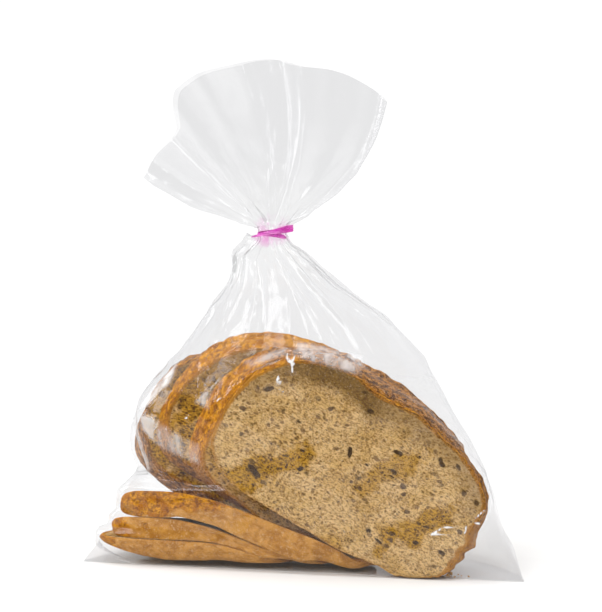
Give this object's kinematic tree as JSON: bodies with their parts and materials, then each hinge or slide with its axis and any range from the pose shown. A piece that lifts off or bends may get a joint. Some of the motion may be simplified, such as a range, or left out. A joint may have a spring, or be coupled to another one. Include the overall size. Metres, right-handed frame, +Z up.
{
  "type": "sliced loaf in bread bag",
  "caption": "Clear film bread bag standing on its flat bottom, filled with slices of seeded loaf, its neck gathered by a strip tie under a fan-shaped frill.",
  "frame": {"origin": "centre of the footprint box, at table height", "axes": "+Z up, -Y towards the side with the large cut face of bread, +X to the right seen from that side"},
  "size_m": [0.271, 0.0991, 0.307],
  "materials": {
    "film": "clear glossy film",
    "tie": "thin tinted plastic strip",
    "crumb": "matt porous bread crumb with seeds",
    "crust": "baked crust, satin, floury in places"
  },
  "bodies": {
    "root": {"bag": "film", "twist_tie": "tie"}
  },
  "joints": []
}
